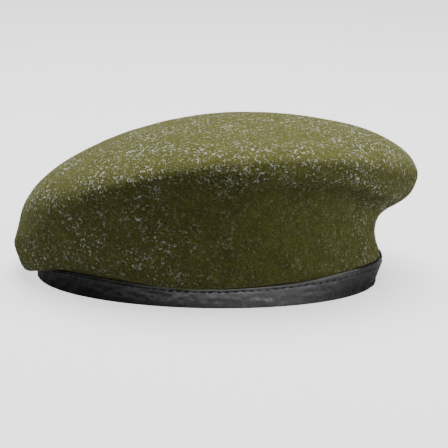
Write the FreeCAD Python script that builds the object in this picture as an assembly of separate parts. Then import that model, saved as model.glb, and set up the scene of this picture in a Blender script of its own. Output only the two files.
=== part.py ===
import FreeCAD, Part
import math
import os
from functools import lru_cache

# A wool-felt military beret with a folded leather binding, a drawstring and a satin lining.
#
# Frame, in millimetres: +Z is up, -X is the wearer's front, +X the back, -Y the wearer's
# left (the badge side, where the felt stands tall) and +Y the wearer's right (where the crown
# is pulled down). The origin is the centre of the head opening, in the plane of the fold on
# which the beret rests.
#
# Every soft layer is a skin over the same family of meridians: one curve per turn angle, which
# climbs from the felt's raw edge in the binding, up the wall, round the rim and over the crown.

V = FreeCAD.Vector

# ---- head opening -------------------------------------------------------------------------
BAND_HALF_LENGTH = 104.5        # felt edge, front to back
BAND_HALF_WIDTH = 67.0          # felt edge, side to side

# ---- layers -------------------------------------------------------------------------------
FELT = 2.0                      # thickness of the milled wool felt
LEATHER = 1.0                   # thickness of the binding
LINING = 0.4                    # thickness of the satin
LAYER_GAP = 0.15                # air between sewn layers

# ---- binding ------------------------------------------------------------------------------
FOLD_RADIUS = 1.4               # outside radius of the fold's two corners
FOLD_OUTSIDE = 1.1              # outward offset of the fold's outer face
FOLD_INSIDE = -3.8              # outward offset of the fold's inner face
CORD_OFFSET = -1.35             # drawstring's centre line, outward offset
CORD_HEIGHT = 2.3               # drawstring's centre line, height
CORD_DIAMETER = 2.2
JOINT_GAP = 0.8                 # butt joint of the binding at the back
LEAF_ROWS = 6                   # rows of points up each leaf
CORD_SLOT_WIDTH = 11.0          # slot in the inner leaf where the cord's ends come out
CORD_SLOT_TOP = 4.6
CORD_SLOT_DEPTH = 4.0
CORD_SLOT_INSET = 6.0           # from the felt's edge to the slot's inner end
CORD_BEND = 2.2                 # radius of the cord's turn into the slot
CORD_PARTING = 0.6              # half of the air between the cord's two ends
CORD_POINTS = 72                # points that carry the cord round the head
KNOT_REACH = 5.0                # from the cord's bend to the knot
KNOT_LIFT = 1.2                 # the knot sits this much above the cord
KNOT_FULLNESS = 0.6             # how far its core stands out past the two ends
KNOT_LOOP = 0.2                 # how far its loop stands out past the two ends

# ---- crown --------------------------------------------------------------------------------
RIM_FRONT = -118.5
RIM_BACK = 131.0
RIM_LEFT = -88.0
RIM_RIGHT = 113.0
APEX = V(9.0, -8.0, 100.5)
CROWN_RINGS = 10
CROWN_TOP_FRACTION = 0.985      # how near the last control ring comes to the apex

# ---- small parts --------------------------------------------------------------------------
STITCH_RADIUS = 0.28
STITCH_LENGTH = 3.4
STITCH_PITCH = 4.8
STITCH_LIFT = 0.05              # air under each thread
STITCH_LINE = 0.72              # how far up a leaf of the binding its stitches run
JOINT_STITCH_LINES = (0.1, 0.32, 0.54)
JOINT_STITCH_AIR = 0.1          # extra air under the stitches over the joint
ROW_MARGIN = 1.0                # from the end of a seam to its first stitch
EYELET_BORE = 2.2
EYELET_BARREL = 2.6
EYELET_FLANGE = 4.6
EYELET_LIP = 3.4
EYELET_METAL = 0.4
WASHER_RADIUS = 4.4
EYELET_AIR = 0.2                # between the flange and the felt's curved face
WASHER_AIR = 0.4                # between the felt and the washer
EYELET_FIT = 0.05               # between the barrel and what it passes through
PUNCH_LENGTH = 12.0             # of the cylinder that cuts each vent hole
VENT_TURNS = {"front": math.radians(100), "rear": math.radians(80)}
VENT_STATION = 6.0
STIFFENER = 0.8                 # board behind the badge
STIFFENER_AIR = 0.25            # between it and the felt
STIFFENER_TURNS = (math.radians(204), math.radians(248))
STIFFENER_STATIONS = (7.0, 9.1)
TAB_TURNS = (math.radians(332), math.radians(342))
TAB_STATIONS = (2.35, 3.31)
LABEL = 0.25                    # thickness of the label and the size tab
LABEL_AIR = 0.35                # between the label and the curved lining
LABEL_LENGTH = 44.0
LABEL_WIDTH = 24.0
LABEL_CENTRE_X = 42.0
LABEL_CENTRE_Y = -8.0
LABEL_HEM = 1.2                 # from the label's long edge to its stitches
LABEL_ROWS = 5
LABEL_COLUMNS = 7
LABEL_STATIONS = 4.0            # stretch of the crown, back from the apex, that carries the label

# ---- shape of the felt --------------------------------------------------------------------
# Each value is given at the back, right, front and left of the head. Optional extras follow:
# a twist between the diagonals, a lift of all four diagonals, and a lift of the badge corner.
BADGE_TURN = math.radians(226)
BADGE_SHARPNESS = 8

# Rings of the wall: (outward offset from the felt edge's ellipse, height).
FELT_RINGS = [
    ((0.0, 0.0, 0.0, 0.0), (4.0, 4.0, 4.0, 4.0)),
    ((1.6, 0.3, 0.3, 0.3), (8.0, 8.0, 8.0, 8.0)),
    ((3.4, 0.8, 0.6, 0.8), (13.5, 12.5, 11.5, 13.0, 0, 0, 1.5)),
    ((3.6, 5.0, 3.8, 4.2, 0, -0.8, -1.5), (17.5, 14.5, 12.0, 15.8, 0.9, -1.0, 2.2)),
    ((1.8, 10.0, 4.8, 5.4, 0, 0, -1.5), (21.0, 15.0, 4.0, 12.6, 1.0, 0.3, 8.4)),
    ((0.5, 17.0, 9.0, 11.2, 0, 0, -4.0), (26.0, 17.0, 2.6, 13.4, 0.5, 1.8, 12.0)),
    ((-0.5, 27.0, 11.5, 12.6, 0, 0, -3.0), (32.0, 21.0, 6.5, 17.5, 0.9, 1.7, 11.2)),
    ((0.0, 33.0, 13.5, 10.5, 0, 0, -1.0), (39.0, 24.0, 12.0, 36.0, 0, 0, 9.0)),
    ((5.0, 39.0, 15.5, 8.5), (47.5, 28.0, 17.5, 64.0, 0, 0, 3.0)),
    ((20.5, 44.0, 16.2, 14.0), (54.0, 33.0, 22.0, 79.0)),
]
RIM_HEIGHT = (63.0, 42.0, 26.5, 88.5)
CROWN_FULLNESS = (3.3, 2.4, 1.6, 2.2)
CROWN_ROUNDNESS = (2.0, 2.0, 2.1, 2.0)

# Rings of the lining, given the same way. It hangs clear inside the fold that the felt makes
# over the binding, and its lower edge is held between the felt and the inner leaf.
LINING_RINGS = [
    ((-2.15, -2.2, -2.2, -2.2), (6.0, 6.0, 6.0, 6.0)),
    ((-0.6, -1.95, -1.95, -1.95), (8.5, 8.5, 8.5, 8.5)),
    ((0.6, -2.3, -2.4, -2.1), (14.0, 13.5, 13.0, 13.5, 0, 0, 1.0)),
    ((-1.5, -2.5, -2.5, -1.5), (20.0, 19.5, 18.5, 19.0)),
    ((-5.5, 20.0, 6.0, 5.5, 0, 0, -1.0), (33.0, 26.5, 20.5, 26.0)),
    ((-1.0, 34.0, 10.0, 4.5), (49.0, 33.0, 24.0, 62.0)),
    ((14.5, 39.5, 11.5, 9.0), (57.0, 38.0, 27.5, 78.0)),
]
LINING_RIM_SHIFT = 5.5          # inside the felt's rim
LINING_CROWN_DROP = 5.0         # below the felt's crown
SEAM_STATION = 6.3              # where the crown panel's edge lies on the side panel
SEAM_LAP = 0.35                 # how far the side panel runs on under it
SEAM_STITCH_LIFT = 0.15         # how far past that edge the seam is stitched

# Height of the binding's leaves: the outer one above the felt's edge, along the felt, and the
# inner one above the lining's edge, along the lining.
OUTER_LEAF_HEIGHT = (14.0, 8.0, 6.8, 8.8, 0, 1.8, 2.3)
INNER_LEAF_HEIGHT = (7.5, 7.0, 6.5, 6.5, 0, 0, 1.0)

TURNS = 48                      # meridians round the head
NORMAL_STEP = 0.01              # turn used to measure the skin's direction


def spread(first, last, count):
    """Evenly spaced values from first to last."""
    return [first + (last - first) * i / (count - 1) for i in range(count)]


# Stations of the felt's faces: close together where it folds over the binding.
FELT_RUNS = [spread(0, 3, 21), spread(3, 7, 17), spread(7, 11, 17), spread(11, 18, 15)]


def compass(turn, back, right, front, left, twist=0.0, corners=0.0, badge=0.0):
    """One value round the head, blended from its values at the four quarters."""
    mean = (back + right + front + left) / 4
    along = (back - front) / 2 * math.cos(turn)
    across = (right - left) / 2 * math.sin(turn)
    oval = (back + front - right - left) / 4 * math.cos(2 * turn)
    diagonal = twist * math.sin(2 * turn) + corners * (1 - math.cos(4 * turn)) / 2
    lift = badge * max(0.0, math.cos(turn - BADGE_TURN)) ** BADGE_SHARPNESS
    return mean + along + across + oval + diagonal + lift


def band_normal(turn):
    normal = V(math.cos(turn) / BAND_HALF_LENGTH, math.sin(turn) / BAND_HALF_WIDTH, 0)
    return normal.normalize()


def band_point(turn, outward, height):
    """A point given by its offset from the felt edge's ellipse and its height."""
    foot = V(BAND_HALF_LENGTH * math.cos(turn), BAND_HALF_WIDTH * math.sin(turn), height)
    return foot + band_normal(turn) * outward


def wall_points(turn, rings):
    return [band_point(turn, compass(turn, *offset), compass(turn, *height))
            for offset, height in rings]


def rim_point(turn, inward):
    centre_x = (RIM_FRONT + RIM_BACK) / 2
    centre_y = (RIM_LEFT + RIM_RIGHT) / 2
    half_x = (RIM_BACK - RIM_FRONT) / 2 - inward
    half_y = (RIM_RIGHT - RIM_LEFT) / 2 - inward
    return V(centre_x + half_x * math.cos(turn), centre_y + half_y * math.sin(turn),
             compass(turn, *RIM_HEIGHT))


def crown_points(turn, inward, drop):
    """Control points from the rim to the apex, on a quarter of a superellipse."""
    rim = rim_point(turn, inward)
    apex = APEX - V(0, 0, drop)
    fullness = compass(turn, *CROWN_FULLNESS)
    roundness = compass(turn, *CROWN_ROUNDNESS)
    points = []
    for ring in range(1, CROWN_RINGS + 1):
        quarter = ring / CROWN_RINGS * CROWN_TOP_FRACTION * math.pi / 2
        reach = math.cos(quarter) ** 0.85
        rise = (1 - reach ** fullness) ** (1 / roundness)
        if ring == CROWN_RINGS:
            rise = 1.0
        across = (rim - apex) * reach
        points.append(V(apex.x + across.x, apex.y + across.y, rim.z + (apex.z - rim.z) * rise))
    return points


def clamped_curve(poles):
    """A cubic that starts and ends on its outer poles, with one unit of parameter a span."""
    spans = len(poles) - 3
    curve = Part.BSplineCurve()
    curve.buildFromPolesMultsKnots(poles, [4] + [1] * (spans - 1) + [4],
                                   [float(i) for i in range(spans + 1)], False, 3)
    return curve


@lru_cache(maxsize=None)
def felt_meridian(turn):
    return clamped_curve(wall_points(turn, FELT_RINGS) + [rim_point(turn, 0)]
                         + crown_points(turn, 0, 0))


@lru_cache(maxsize=None)
def lining_meridian(turn):
    rim = [rim_point(turn, LINING_RIM_SHIFT)]
    return clamped_curve(wall_points(turn, LINING_RINGS) + rim
                         + crown_points(turn, LINING_RIM_SHIFT, LINING_CROWN_DROP))


def surface_point(meridian, turn, station, depth):
    """The point at this station, moved in along the skin's own normal."""
    curve = meridian(turn)
    point = curve.value(station)
    if depth == 0:
        return point
    along = curve.tangent(station)[0]
    ahead = meridian(turn + NORMAL_STEP).value(station)
    around = ahead - meridian(turn - NORMAL_STEP).value(station)
    normal = around.cross(along).normalize()
    if station >= curve.LastParameter:
        normal = V(0, 0, 1)
    return point - normal * depth


def ring(meridian, station, depth):
    turns = spread(0, 2 * math.pi, TURNS + 1)[:-1]
    return [surface_point(meridian, turn, station, depth) for turn in turns]


def open_turns(margin):
    """Turns from one side of the back joint round to the other."""
    return spread(margin, 2 * math.pi - margin, TURNS + 1)


def smooth_wire(points, closed):
    """A curve through the points, with even parameters so that all rows share their knots."""
    curve = Part.BSplineCurve()
    count = len(points) + 1 if closed else len(points)
    curve.interpolate(Points=points, PeriodicFlag=closed, Parameters=[float(i) for i in range(count)])
    return Part.Wire(curve.toShape())


def skin(rows, closed=True, ruled=False):
    return Part.makeLoft([smooth_wire(row, closed) for row in rows], False, ruled)


def solid_from(faces):
    solid = Part.Solid(Part.Shell(faces))
    if solid.Volume < 0:
        solid.reverse()
    return solid


def shell_wall(meridian, runs, outer_depth, thickness, domed):
    """The solid between two skins: a tapered ring, or a dome closed by two flat discs.

    Each run of stations is one smooth face of each skin, and starts where the last one ends.
    """
    faces = []
    feet = []
    tops = []
    for depth in (outer_depth, outer_depth + thickness):
        for run in runs:
            faces += skin([ring(meridian, station, depth) for station in run]).Faces
        feet.append(ring(meridian, runs[0][0], depth))
        tops.append(ring(meridian, runs[-1][-1], depth))
    faces += skin(feet, ruled=True).Faces
    if domed:
        faces += [Part.Face(smooth_wire(top, True)) for top in tops]
    else:
        faces += skin(tops, ruled=True).Faces
    return solid_from(faces)


def sheet_between(grids):
    """A four-sided piece of sheet between two grids of points."""
    front, back = [skin(rows, closed=False) for rows in grids]
    faces = front.Faces + back.Faces
    for edge, other in zip(front.Edges, back.Edges):
        faces.append(Part.makeRuledSurface(edge, other))
    return solid_from(faces)


def sheet_patch(meridian, turns, stations, outer_depth, thickness):
    """A four-sided piece of sheet that follows a skin."""
    return sheet_between([[[surface_point(meridian, turn, station, depth) for turn in turns]
                           for station in stations]
                          for depth in (outer_depth, outer_depth + thickness)])


def leaf_point(leaf, turn, fraction, depth):
    """A point on a leaf of the binding, square to its backing in the upright plane of the turn."""
    meridian, height = leaf
    curve = meridian(turn)
    station = curve.parameterAtDistance(compass(turn, *height), 0.0) * fraction
    along = curve.tangent(station)[0]
    normal = band_normal(turn)
    square = normal * along.z - V(0, 0, along.dot(normal))
    return curve.value(station) - square.normalize() * depth


OUTER_LEAF = (felt_meridian, OUTER_LEAF_HEIGHT)
INNER_LEAF = (lining_meridian, INNER_LEAF_HEIGHT)


def fold_corner(centre, radius, first, last):
    """Offsets and heights round one corner of the fold; angle 0 points outward."""
    corner = []
    for step in range(4):
        angle = math.radians(first + (last - first) * step / 3)
        corner.append((centre + radius * math.cos(angle), FOLD_RADIUS - radius * math.sin(angle)))
    return corner


def binding_rows(turns):
    """The binding's section as rows: outer face, foot, inner face, then back by the channel."""
    up = spread(0, 1, LEAF_ROWS)
    down = up[::-1]
    outer_centre = FOLD_OUTSIDE - FOLD_RADIUS
    inner_centre = FOLD_INSIDE + FOLD_RADIUS
    inside = FOLD_RADIUS - LEATHER

    def leaf(side, fractions, depth):
        return [[leaf_point(side, turn, f, depth) for turn in turns] for f in fractions]

    def fold(corner):
        return [[band_point(turn, o, z) for turn in turns] for o, z in corner]

    outside = leaf(OUTER_LEAF, down, -LAYER_GAP - LEATHER)
    outside += fold(fold_corner(outer_centre, FOLD_RADIUS, 0, 90))
    head_side = fold(fold_corner(inner_centre, FOLD_RADIUS, 90, 180))
    head_side += leaf(INNER_LEAF, up, LINING + LAYER_GAP + LEATHER)
    channel = leaf(INNER_LEAF, down, LINING + LAYER_GAP)
    channel += fold(fold_corner(inner_centre, inside, 180, 90))
    channel += fold(fold_corner(outer_centre, inside, 90, 0))
    channel += leaf(OUTER_LEAF, up, -LAYER_GAP)
    return outside, head_side, channel


def leather_binding():
    """A strip folded round the felt's edge, open at the top, butted together at the back."""
    outside, head_side, channel = binding_rows(open_turns(JOINT_GAP / 2 / BAND_HALF_WIDTH))
    faces = skin(outside, closed=False, ruled=True).Faces
    faces += skin(head_side, closed=False, ruled=True).Faces
    faces += skin([head_side[-1], channel[0]], closed=False, ruled=True).Faces
    faces += skin(channel, closed=False, ruled=True).Faces
    faces += skin([channel[-1], outside[0]], closed=False, ruled=True).Faces
    outer_foot = smooth_wire(outside[-1], False)
    inner_foot = smooth_wire(head_side[0], False)
    ends = [Part.makeLine(outside[-1][i], head_side[0][i]) for i in (0, -1)]
    faces.append(Part.Face(Part.Wire([outer_foot.Edges[0], ends[1], inner_foot.Edges[0], ends[0]])))
    for i in (0, -1):
        section = [row[i] for row in outside + head_side + channel]
        faces.append(Part.Face(Part.makePolygon(section + section[:1])))
    corner = V(BAND_HALF_LENGTH - CORD_SLOT_INSET, -CORD_SLOT_WIDTH / 2, LEATHER)
    slot = Part.makeBox(CORD_SLOT_DEPTH, CORD_SLOT_WIDTH, CORD_SLOT_TOP - LEATHER, corner)
    return solid_from(faces).cut(slot)


def felt_crown():
    """The seamless felt body, with the two vent holes punched in the wearer's right side."""
    body = shell_wall(felt_meridian, FELT_RUNS, 0, FELT, True)
    for turn in VENT_TURNS.values():
        centre, normal = vent_axis(turn)
        start = centre - normal * PUNCH_LENGTH / 2
        body = body.cut(Part.makeCylinder(EYELET_BARREL + EYELET_FIT, PUNCH_LENGTH, start, normal))
    return body


def thread_row(curve, start, pitch, count):
    """Separate stitches laid end to end along a curve."""
    tip = STITCH_RADIUS
    body = STITCH_LENGTH - 2 * tip
    along = V(1, 0, 0)
    stitch = Part.makeCylinder(STITCH_RADIUS, body, V(-body / 2, 0, 0), along)
    for side in (-1, 1):
        cap = Part.makeCone(STITCH_RADIUS, STITCH_RADIUS / 2, tip, V(side * body / 2, 0, 0), along * side)
        stitch = stitch.fuse(cap)
    stitches = []
    for number in range(count):
        station = curve.parameterAtDistance(start + pitch * number, curve.FirstParameter)
        copy = stitch.copy()
        turned = FreeCAD.Rotation(V(1, 0, 0), curve.tangent(station)[0])
        copy.Placement = FreeCAD.Placement(curve.value(station), turned)
        stitches.append(copy)
    return Part.makeCompound(stitches)


def stitched_row(points):
    """Stitches at an even pitch along an open row of points, with a margin at each end."""
    curve = Part.BSplineCurve()
    curve.interpolate(points)
    length = curve.length() - 2 * ROW_MARGIN - STITCH_LENGTH
    count = int(length / STITCH_PITCH) + 1
    return thread_row(curve, ROW_MARGIN + STITCH_LENGTH / 2, length / (count - 1), count)


def binding_stitches(leaf, depth):
    """The row of stitches a little below the top edge of one leaf."""
    return stitched_row([leaf_point(leaf, turn, STITCH_LINE, depth) for turn in open_turns(0.02)])


def outer_binding_stitches():
    return binding_stitches(OUTER_LEAF, -LAYER_GAP - LEATHER - STITCH_LIFT - STITCH_RADIUS)


def inner_binding_stitches():
    return binding_stitches(INNER_LEAF, LINING + LAYER_GAP + LEATHER + STITCH_LIFT + STITCH_RADIUS)


def joint_stitches():
    """Whip stitches that hold the two ends of the binding together, outside at the back."""
    stitches = []
    depth = -LAYER_GAP - LEATHER - STITCH_LIFT - JOINT_STITCH_AIR - STITCH_RADIUS
    reach = STITCH_LENGTH / 2 / BAND_HALF_WIDTH
    for fraction in JOINT_STITCH_LINES:
        points = [leaf_point(OUTER_LEAF, turn, fraction, depth) for turn in (-reach, 0, reach)]
        curve = Part.BSplineCurve()
        curve.interpolate(points)
        stitches += thread_row(curve, curve.length() / 2, 0, 1).Solids
    return Part.makeCompound(stitches)


def drawstring():
    """One cord in the channel; its ends leave by the slot at the back and are knotted inside."""
    radius = CORD_DIAMETER / 2
    half_gap = radius + CORD_PARTING
    side = half_gap + CORD_BEND
    turn = math.asin(side / (BAND_HALF_WIDTH + CORD_OFFSET))
    route = Part.BSplineCurve()
    route.interpolate([band_point(t, CORD_OFFSET, CORD_HEIGHT)
                       for t in spread(turn, 2 * math.pi - turn, CORD_POINTS + 1)])
    edges = [arc.toShape() for arc in route.toBiArcs(0.02)]
    start = route.value(route.FirstParameter)
    knot_x = start.x - CORD_BEND - KNOT_REACH
    eighth = CORD_BEND * math.sqrt(0.5)
    for sign, anchor in ((1, start), (-1, route.value(route.LastParameter))):
        inner = V(anchor.x - CORD_BEND, sign * half_gap, CORD_HEIGHT)
        middle = V(anchor.x - CORD_BEND + eighth, sign * (side - eighth), CORD_HEIGHT)
        edges.append(Part.Arc(anchor, middle, inner).toShape())
        edges.append(Part.makeLine(inner, V(knot_x, sign * half_gap, CORD_HEIGHT)))
    path = Part.Wire(Part.__sortEdges__(edges))
    along = V(1, 0, 0)
    circle = Part.Wire(Part.makeCircle(radius, path.OrderedVertexes[0].Point, along))
    cord = path.makePipeShell([circle], True, False)
    knot_height = CORD_HEIGHT + KNOT_LIFT
    loop = Part.makeTorus(half_gap + KNOT_LOOP, radius, V(knot_x + radius, 0, knot_height), along)
    core = Part.makeSphere(half_gap + KNOT_FULLNESS, V(knot_x, 0, knot_height))
    return cord.fuse([loop, core])


def vent_axis(turn):
    centre = surface_point(felt_meridian, turn, VENT_STATION, 0)
    normal = (centre - surface_point(felt_meridian, turn, VENT_STATION, 1)).normalize()
    return centre, normal


def turned_part(profile, centre, normal):
    """A ring turned from (radius, distance in from the felt's face) and set on its axis."""
    points = [V(r, 0, -d) for r, d in profile]
    face = Part.Face(Part.makePolygon(points + points[:1]))
    ring_solid = face.revolve(V(0, 0, 0), V(0, 0, 1), 360)
    ring_solid.Placement = FreeCAD.Placement(centre, FreeCAD.Rotation(V(0, 0, 1), normal))
    return ring_solid


def vent_eyelet(turn):
    """Enamelled eyelet: flange outside, barrel through the felt, lip clenched on the washer."""
    top = -EYELET_AIR - EYELET_METAL
    back = FELT + WASHER_AIR + EYELET_METAL + EYELET_FIT
    profile = [
        (EYELET_BORE, top), (EYELET_FLANGE, top),
        (EYELET_FLANGE, -EYELET_AIR), (EYELET_BARREL, -EYELET_AIR), (EYELET_BARREL, back),
        (EYELET_LIP, back), (EYELET_LIP, back + EYELET_METAL), (EYELET_BORE, back + EYELET_METAL),
    ]
    return turned_part(profile, *vent_axis(turn))


def vent_washer(turn):
    """The washer inside, between the felt and the eyelet's clenched lip."""
    near = FELT + WASHER_AIR
    far = near + EYELET_METAL
    hole = EYELET_BARREL + EYELET_FIT
    profile = [(hole, near), (WASHER_RADIUS, near), (WASHER_RADIUS, far), (hole, far)]
    return turned_part(profile, *vent_axis(turn))


def lining_side_panel():
    return shell_wall(lining_meridian, [spread(0, SEAM_STATION + SEAM_LAP, 19)], 0, LINING, False)


def lining_crown_panel():
    stations = spread(SEAM_STATION, lining_meridian(0).LastParameter, 21)
    return shell_wall(lining_meridian, [stations], LINING + LAYER_GAP, LINING, True)


def lining_seam_stitches():
    """The row that sews the crown panel over the side panel's upper edge."""
    depth = 2 * LINING + LAYER_GAP + STITCH_LIFT + STITCH_RADIUS
    return stitched_row([surface_point(lining_meridian, turn, SEAM_STATION + SEAM_STITCH_LIFT, depth)
                         for turn in open_turns(0.01)])


def badge_stiffener():
    """The board that keeps the felt upright behind the badge, between felt and lining."""
    return sheet_patch(felt_meridian, spread(*STIFFENER_TURNS, 12), spread(*STIFFENER_STATIONS, 7),
                       FELT + STIFFENER_AIR, STIFFENER)


def height_under(surface, x, y):
    """Where the upright line through x, y meets the lining's crown."""
    line = Part.LineSegment(V(x, y, 60), V(x, y, 120))
    return line.intersect(surface)[0][0].Z


def crown_label_grid(depth):
    """Rows of points over the label, below the lining's crown by this depth."""
    last = lining_meridian(0).LastParameter
    inner_face = 2 * LINING + LAYER_GAP
    rings = [ring(lining_meridian, station, inner_face)
             for station in spread(last - LABEL_STATIONS, last, 11)]
    surface = skin(rings).Faces[0].Surface
    half_length = LABEL_LENGTH / 2
    half_width = LABEL_WIDTH / 2
    xs = spread(LABEL_CENTRE_X - half_length, LABEL_CENTRE_X + half_length, LABEL_COLUMNS)
    ys = spread(LABEL_CENTRE_Y - half_width, LABEL_CENTRE_Y + half_width, LABEL_ROWS)
    return [[V(x, y, height_under(surface, x, y) - depth) for x in xs] for y in ys]


def crown_label():
    """A blank satin label sewn flat on the lining, behind the middle of the crown."""
    return sheet_between([crown_label_grid(depth) for depth in (LABEL_AIR, LABEL_AIR + LABEL)])


def crown_label_stitches():
    """One row of stitches along each long edge of the label."""
    rows = crown_label_grid(LABEL_AIR + LABEL + STITCH_LIFT + STITCH_RADIUS)
    stitches = []
    for row, inward in ((rows[0], 1), (rows[-1], -1)):
        curve = Part.BSplineCurve()
        curve.interpolate([point + V(0, inward * LABEL_HEM, 0) for point in row])
        count = int((curve.length() - 2 * ROW_MARGIN) / STITCH_PITCH)
        first = (curve.length() - (count - 1) * STITCH_PITCH) / 2
        stitches += thread_row(curve, first, STITCH_PITCH, count).Solids
    return Part.makeCompound(stitches)


def size_tab():
    """A blank tab that lies on the lining just above the inner leaf, left of the back joint."""
    return sheet_patch(lining_meridian, spread(*TAB_TURNS, 11), spread(*TAB_STATIONS, 9),
                       LINING + LAYER_GAP, LABEL)


SUB_PARTS = {
    "felt_crown": felt_crown,
    "leather_binding": leather_binding,
    "binding_stitches_outer": outer_binding_stitches,
    "binding_stitches_inner": inner_binding_stitches,
    "binding_joint_stitches": joint_stitches,
    "drawstring": drawstring,
    "lining_side_panel": lining_side_panel,
    "lining_crown_panel": lining_crown_panel,
    "lining_seam_stitches": lining_seam_stitches,
    "badge_stiffener": badge_stiffener,
    "crown_label": crown_label,
    "crown_label_stitches": crown_label_stitches,
    "size_tab": size_tab,
}


def main():
    os.makedirs("parts", exist_ok=True)
    shapes = {name: make() for name, make in SUB_PARTS.items()}
    for place, turn in VENT_TURNS.items():
        shapes["vent_eyelet_" + place] = vent_eyelet(turn)
        shapes["vent_washer_" + place] = vent_washer(turn)
    for name, shape in shapes.items():
        shape.exportStep("parts/" + name + ".step")
        print(name, len(shape.Solids), "solids, valid:", shape.isValid(), "mm3:", round(shape.Volume, 1))


main()
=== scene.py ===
import math
from functools import lru_cache

import bmesh
import bpy
import numpy as np
from mathutils import Matrix, Vector
from mathutils.bvhtree import BVHTree


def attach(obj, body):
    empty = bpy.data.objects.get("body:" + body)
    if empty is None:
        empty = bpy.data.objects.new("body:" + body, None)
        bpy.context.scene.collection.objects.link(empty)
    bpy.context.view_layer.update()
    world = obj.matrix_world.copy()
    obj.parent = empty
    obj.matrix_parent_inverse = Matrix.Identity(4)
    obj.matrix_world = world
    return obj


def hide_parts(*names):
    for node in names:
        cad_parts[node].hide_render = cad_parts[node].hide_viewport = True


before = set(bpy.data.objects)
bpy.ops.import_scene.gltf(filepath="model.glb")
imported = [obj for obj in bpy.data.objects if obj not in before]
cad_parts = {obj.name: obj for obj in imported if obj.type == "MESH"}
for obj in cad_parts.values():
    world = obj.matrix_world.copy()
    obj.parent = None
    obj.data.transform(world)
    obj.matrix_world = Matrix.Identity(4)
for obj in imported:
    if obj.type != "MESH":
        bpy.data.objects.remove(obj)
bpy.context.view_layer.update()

# A wool-felt military beret: felt body, folded leather binding, stitching, satin lining.
# Shapes are worked out in millimetres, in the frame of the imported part, and built in metres.

MM = 0.001

# ---- dimensions, in millimetres ------------------------------------------------------------
# The felt, leather and lining are as in the part; its 0.8 joint gap is drawn pulled closer here.
# Turns run round the head: 0 at the back, 90 degrees at the wearer's right, 180 at the front.
# Stations run along a meridian of the cloth: 0 at its lower edge, one unit to a spline span.
BAND_HALF_LENGTH = 104.5
BAND_HALF_WIDTH = 67.0
FELT = 2.0
LEATHER = 1.0
LINING = 0.4
LAYER_GAP = 0.15
FOLD_RADIUS = 1.4
FOLD_OUTSIDE = 1.1
FOLD_INSIDE = -3.8
JOINT_GAP = 0.25
CORD_SLOT_WIDTH = 11.0
CORD_SLOT_TOP = 4.6
CORD_SLOT_DEPTH = 4.0
CORD_SLOT_INSET = 6.0
CORD_OFFSET = -1.35
CORD_HEIGHT = 2.3
CORD_RADIUS = 1.1
CORD_BEND = 2.2
CORD_PARTING = 0.6
KNOT_REACH = 5.0
KNOT_LIFT = 1.2
LABEL = 0.25
LABEL_AIR = 0.35
LABEL_SIZE = (44.0, 24.0)
LABEL_CENTRE = (42.0, -8.0)
LABEL_HEM = 1.2
TAB_TURNS = (332, 342)
TAB_STATIONS = (2.35, 3.31)
RIM_FRONT, RIM_BACK = -118.5, 131.0
RIM_LEFT, RIM_RIGHT = -88.0, 113.0
APEX = np.array([9.0, -8.0, 100.5])
CROWN_RINGS = 10
CROWN_TOP_FRACTION = 0.985
BADGE_TURN = math.radians(226)
BADGE_SHARPNESS = 8
STITCH_PITCH = 4.8
STITCH_LENGTH = 3.4
STITCH_LINE = 0.72
STITCH_ARCH = 0.30
STITCH_DIVE = 0.75
STITCH_MARGIN = 2.5
STITCH_TILT = 5

FELT_RINGS = [
    ((0.0, 0.0, 0.0, 0.0), (4.0, 4.0, 4.0, 4.0)),
    ((1.6, 0.3, 0.3, 0.3), (8.0, 8.0, 8.0, 8.0)),
    ((3.4, 0.8, 0.6, 0.8), (13.5, 12.5, 11.5, 13.0, 0, 0, 1.5)),
    ((3.6, 5.0, 3.8, 4.2, 0, -0.8, -1.5), (17.5, 14.5, 12.0, 15.8, 0.9, -1.0, 2.2)),
    ((1.8, 10.0, 4.8, 5.4, 0, 0, -1.5), (21.0, 15.0, 4.0, 12.6, 1.0, 0.3, 8.4)),
    ((0.5, 17.0, 9.0, 11.2, 0, 0, -4.0), (26.0, 17.0, 2.6, 13.4, 0.5, 1.8, 12.0)),
    ((-0.5, 27.0, 11.5, 12.6, 0, 0, -3.0), (32.0, 21.0, 6.5, 17.5, 0.9, 1.7, 11.2)),
    ((0.0, 33.0, 13.5, 10.5, 0, 0, -1.0), (39.0, 24.0, 12.0, 36.0, 0, 0, 9.0)),
    ((5.0, 39.0, 15.5, 8.5), (47.5, 28.0, 17.5, 64.0, 0, 0, 3.0)),
    ((20.5, 44.0, 16.2, 14.0), (54.0, 33.0, 22.0, 79.0)),
]
LINING_RINGS = [
    ((-2.15, -2.2, -2.2, -2.2), (6.0, 6.0, 6.0, 6.0)),
    ((-0.6, -1.95, -1.95, -1.95), (8.5, 8.5, 8.5, 8.5)),
    ((0.6, -2.3, -2.4, -2.1), (14.0, 13.5, 13.0, 13.5, 0, 0, 1.0)),
    ((-1.5, -2.5, -2.5, -1.5), (20.0, 19.5, 18.5, 19.0)),
    ((-5.5, 20.0, 6.0, 5.5, 0, 0, -1.0), (33.0, 26.5, 20.5, 26.0)),
    ((-1.0, 34.0, 10.0, 4.5), (49.0, 33.0, 24.0, 62.0)),
    ((14.5, 39.5, 11.5, 9.0), (57.0, 38.0, 27.5, 78.0)),
]
RIM_HEIGHT = (63.0, 42.0, 26.5, 88.5)
CROWN_FULLNESS = (3.3, 2.4, 1.6, 2.2)
CROWN_ROUNDNESS = (2.0, 2.0, 2.1, 2.0)
LINING_RIM_SHIFT = 5.5
LINING_CROWN_DROP = 5.0
OUTER_LEAF_HEIGHT = (14.0, 8.0, 6.8, 8.8, 0, 1.8, 2.3)
INNER_LEAF_HEIGHT = (7.5, 7.0, 6.5, 6.5, 0, 0, 1.0)
SEAM_STATION = 6.3
SEAM_LAP = 0.35
FELT_RIM = (6.8, 14.0)
LINING_RIM = (5.0, 11.5)
CREASE_TURNS = (240, 262, 270, 285, 300, 315, 330, 345)
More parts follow.
